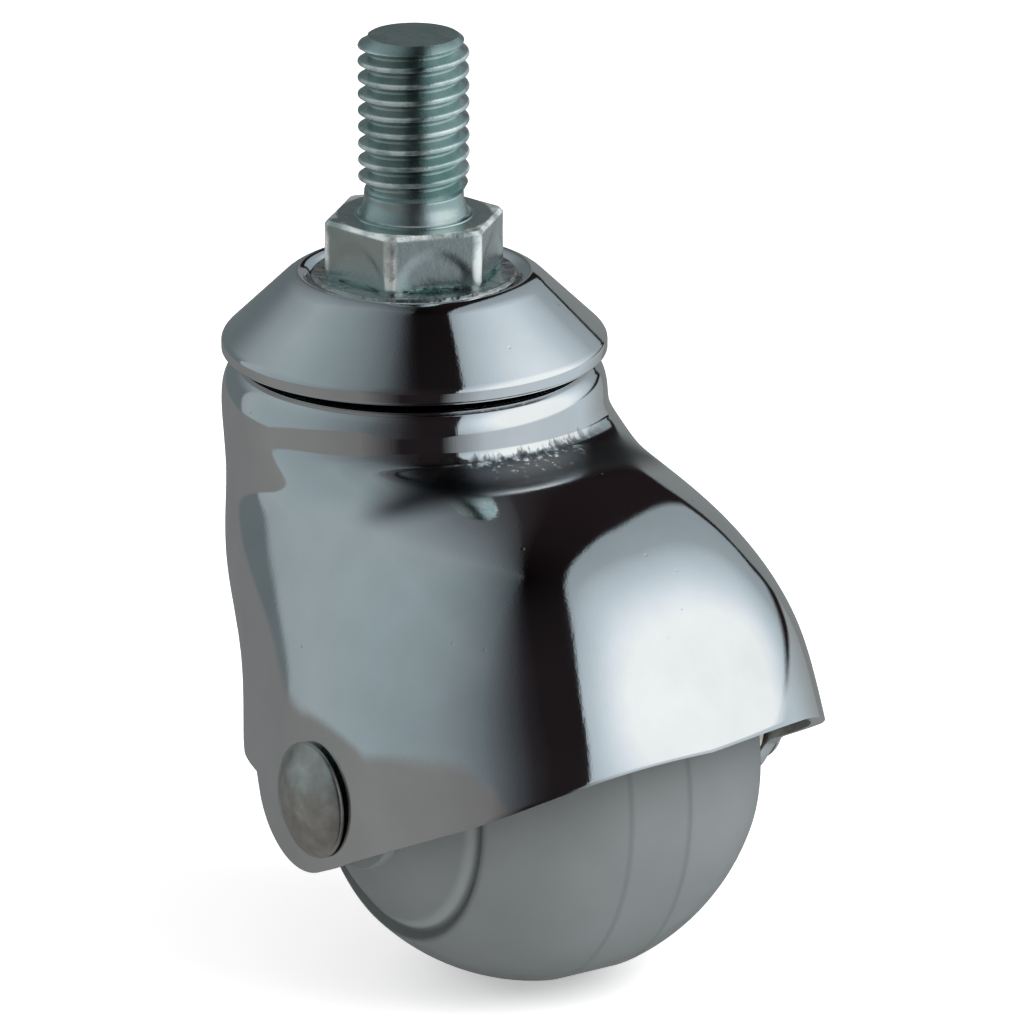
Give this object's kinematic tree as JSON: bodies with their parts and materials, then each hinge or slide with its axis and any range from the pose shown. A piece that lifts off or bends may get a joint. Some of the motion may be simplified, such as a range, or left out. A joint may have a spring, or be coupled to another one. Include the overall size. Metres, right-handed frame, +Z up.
{
  "type": "ball castor",
  "caption": "Hooded ball castor with a threaded stem, hexagon and conical cap over a swivel race, a chromed one-piece hood and a grey ball wheel on a riveted axle.",
  "frame": {"origin": "centre of the hexagon's flat top face, on the swivel axis, where the castor seats against what it is screwed into", "axes": "+Z up the threaded stud, +X from the swivel axis towards the wheel and the front of the hood, Y along the axle with the far head at +Y"},
  "size_m": [0.0622, 0.0502, 0.0811],
  "materials": {
    "zinc_steel": "bright zinc with a blue-green passivation",
    "chrome_plate": "polished chrome plate",
    "race_steel": "dark oiled steel",
    "ball_steel": "polished bearing steel",
    "nickel_steel": "dull nickel plate with fine pits",
    "nylon": "natural nylon",
    "wheel_plastic": "satin grey plastic"
  },
  "bodies": {
    "stem_head": {"stem": "zinc_steel", "cap": "chrome_plate", "upper_race": "race_steel", "lower_race": "race_steel"},
    "upper_ball_row": {"upper_ball_01": "ball_steel", "upper_ball_02": "ball_steel", "upper_ball_03": "ball_steel", "upper_ball_04": "ball_steel", "upper_ball_05": "ball_steel", "upper_ball_06": "ball_steel", "upper_ball_07": "ball_steel", "upper_ball_08": "ball_steel", "upper_ball_09": "ball_steel", "upper_ball_10": "ball_steel", "upper_ball_11": "ball_steel", "upper_ball_12": "ball_steel", "upper_ball_13": "ball_steel", "upper_ball_14": "ball_steel", "upper_ball_15": "ball_steel"},
    "lower_ball_row": {"lower_ball_01": "ball_steel", "lower_ball_02": "ball_steel", "lower_ball_03": "ball_steel", "lower_ball_04": "ball_steel", "lower_ball_05": "ball_steel", "lower_ball_06": "ball_steel", "lower_ball_07": "ball_steel", "lower_ball_08": "ball_steel", "lower_ball_09": "ball_steel", "lower_ball_10": "ball_steel", "lower_ball_11": "ball_steel", "lower_ball_12": "ball_steel", "lower_ball_13": "ball_steel"},
    "hood_fork": {"hood": "chrome_plate", "axle": "nickel_steel", "axle_sleeve": "race_steel", "thrust_washer_near": "nylon", "thrust_washer_far": "nylon"},
    "ball_wheel": {"wheel": "wheel_plastic"}
  },
  "joints": [
    {"name": "swivel", "type": "hinge", "parent": "stem_head", "child": "hood_fork", "pos_m": [0, 0, -0.0144], "axis": [0, 0, 1], "continuous": true},
    {"name": "upper_balls_orbit", "type": "hinge", "parent": "stem_head", "child": "upper_ball_row", "pos_m": [0, 0, -0.01113], "axis": [0, 0, 1], "continuous": true},
    {"name": "lower_balls_orbit", "type": "hinge", "parent": "stem_head", "child": "lower_ball_row", "pos_m": [0, 0, -0.01587], "axis": [0, 0, 1], "continuous": true},
    {"name": "wheel_spin", "type": "hinge", "parent": "hood_fork", "child": "ball_wheel", "pos_m": [0.0193, 0, -0.0446], "axis": [0, 1, 0], "continuous": true}
  ],
  "couplings": [
    {"joint": "upper_balls_orbit", "follows": "swivel", "ratio": 0.5},
    {"joint": "lower_balls_orbit", "follows": "swivel", "ratio": 0.5}
  ]
}
